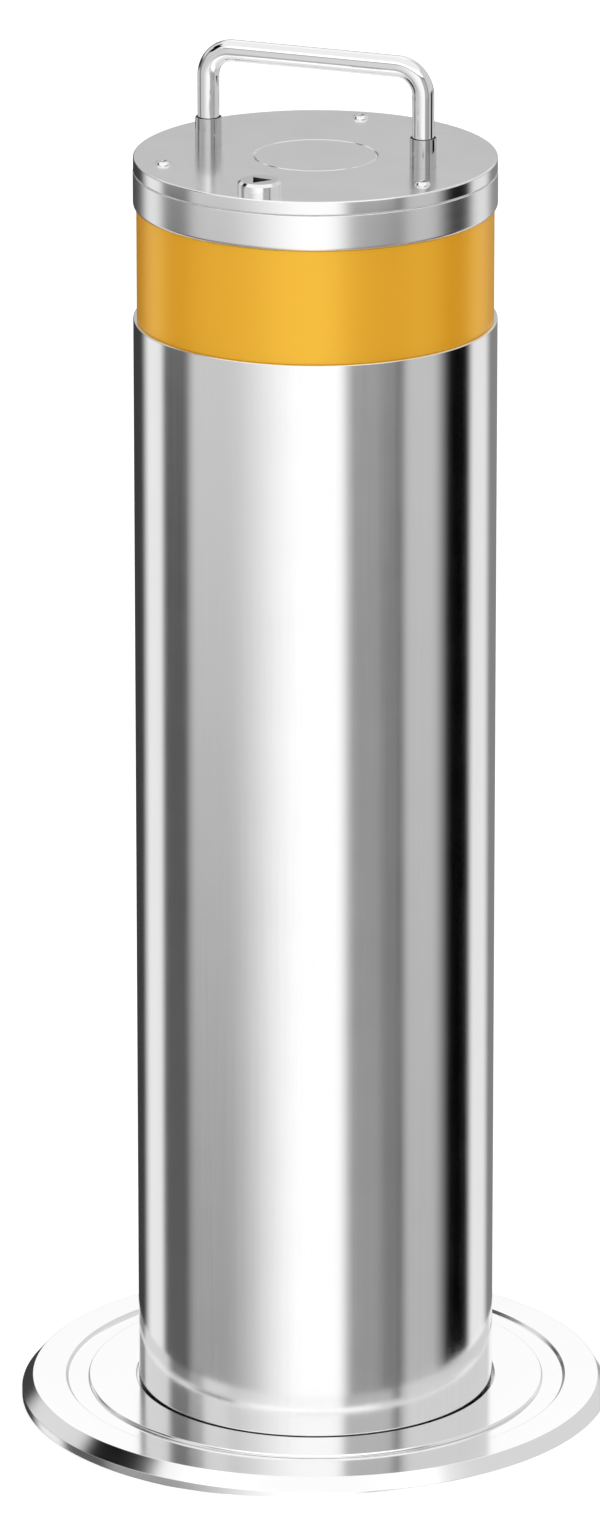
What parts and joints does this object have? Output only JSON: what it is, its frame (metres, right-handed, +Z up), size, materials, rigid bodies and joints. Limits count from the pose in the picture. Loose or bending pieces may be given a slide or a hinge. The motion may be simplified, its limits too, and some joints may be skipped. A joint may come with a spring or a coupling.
{
  "type": "removable bollard",
  "caption": "Round stainless steel bollard with an amber band, a sliding lid handle and a triangular key lock, which lifts off a spigot on a round floor flange.",
  "frame": {"origin": "centre of the floor flange's underside, on the ground", "axes": "+Z up along the post, X along the handle's grip, the key lock on the -Y side"},
  "size_m": [0.28, 0.28, 0.6597],
  "materials": {
    "polished_steel": "polished stainless steel",
    "satin_steel": "satin stainless steel",
    "raw_steel": "bare turned or drawn steel",
    "amber_film": "amber reflective film",
    "grey_rubber": "pale grey silicone rubber",
    "white_nylon": "natural nylon",
    "bush_bronze": "sintered bronze"
  },
  "bodies": {
    "base": {"base_flange": "satin_steel", "cover_ring": "satin_steel", "base_spigot": "raw_steel"},
    "post": {"post_tube": "polished_steel", "neck_tube": "raw_steel", "reflective_band": "amber_film", "cap_ring": "polished_steel", "lid_gasket": "grey_rubber", "top_plate": "satin_steel", "lid_screws": "polished_steel", "lid_screw_lugs": "raw_steel", "lower_guide_plate": "raw_steel", "lower_glide_ring": "white_nylon", "lower_spindle_bush": "bush_bronze", "upper_guide_plate": "raw_steel", "upper_glide_ring": "white_nylon", "upper_spindle_bush": "bush_bronze", "handle_sleeve_right": "polished_steel", "handle_sleeve_left": "polished_steel", "sleeve_nuts": "raw_steel", "lock_bush": "bush_bronze"},
    "handle": {"handle_rod": "polished_steel", "handle_stop_collars": "raw_steel", "collar_pins": "raw_steel"},
    "lock": {"key_plug": "polished_steel", "plug_circlip": "raw_steel", "spindle_coupling": "raw_steel", "coupling_pins": "raw_steel", "lock_spindle": "raw_steel", "latch_tongue": "raw_steel", "latch_pin": "raw_steel"}
  },
  "joints": [
    {"name": "post_lift", "type": "slide", "parent": "base", "child": "post", "axis": [0, 0, 1], "range_m": [0, 0.12]},
    {"name": "handle_slide", "type": "slide", "parent": "post", "child": "handle", "axis": [0, 0, 1], "range_m": [-0.016, 0]},
    {"name": "lock_turn", "type": "hinge", "parent": "post", "child": "lock", "pos_m": [0, -0.0688, 0.6], "axis": [0, 0, 1], "range_deg": [0, 90]}
  ]
}
